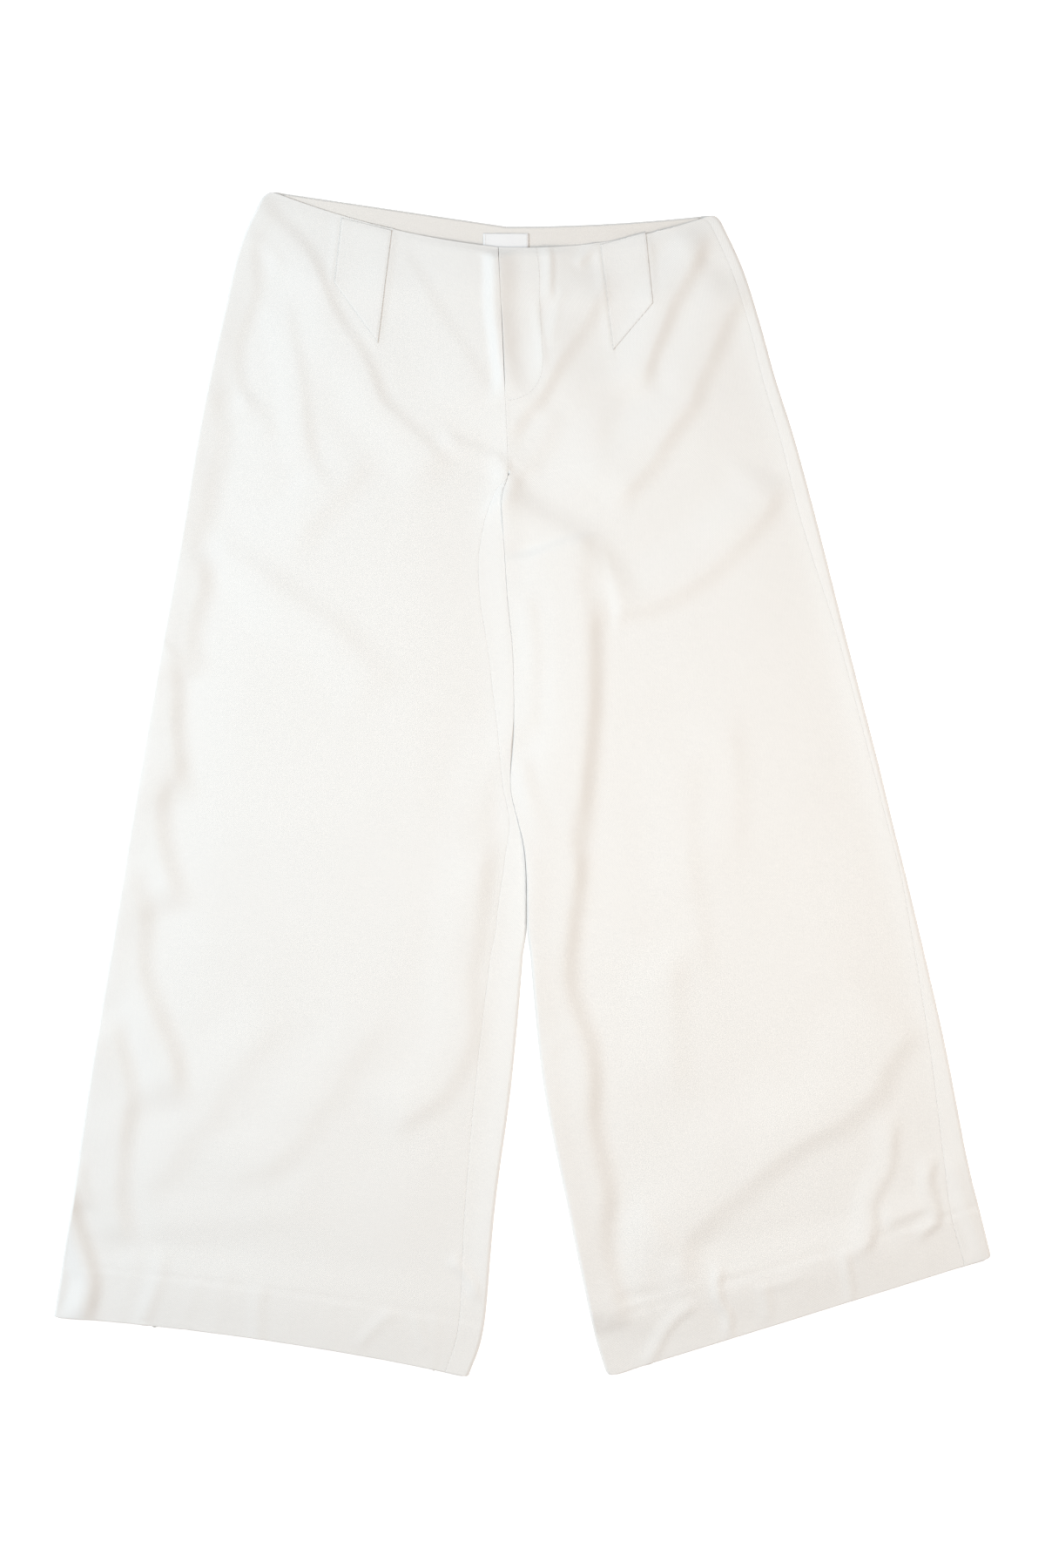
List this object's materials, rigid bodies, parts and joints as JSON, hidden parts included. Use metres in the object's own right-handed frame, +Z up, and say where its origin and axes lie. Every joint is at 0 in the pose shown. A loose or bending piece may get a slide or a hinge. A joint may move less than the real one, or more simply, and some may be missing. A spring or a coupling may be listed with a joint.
{
  "type": "wide-leg trousers",
  "caption": "Cream wide-leg trousers laid flat, front up, with a hidden fly, pointed waist tabs and turned-up hems.",
  "frame": {"origin": "centre of the laid-out trousers' box, on the surface they lie on", "axes": "+Y towards the waist, +X towards the wearer's left leg, +Z up from the surface, front side up"},
  "size_m": [0.808, 1.022, 0.0126],
  "materials": {
    "cloth": "matt cream twill suiting",
    "label_cloth": "smooth white woven tape",
    "zip_tape": "white tape with a closed chain",
    "hook_metal": "plain"
  },
  "bodies": {
    "root": {"front_right": "cloth", "front_left": "cloth", "back_right": "cloth", "back_left": "cloth", "back_facing": "cloth", "tab_right": "cloth", "tab_left": "cloth", "fly_underlap": "cloth", "label": "label_cloth", "zip": "zip_tape", "waist_hook": "hook_metal"}
  },
  "joints": []
}
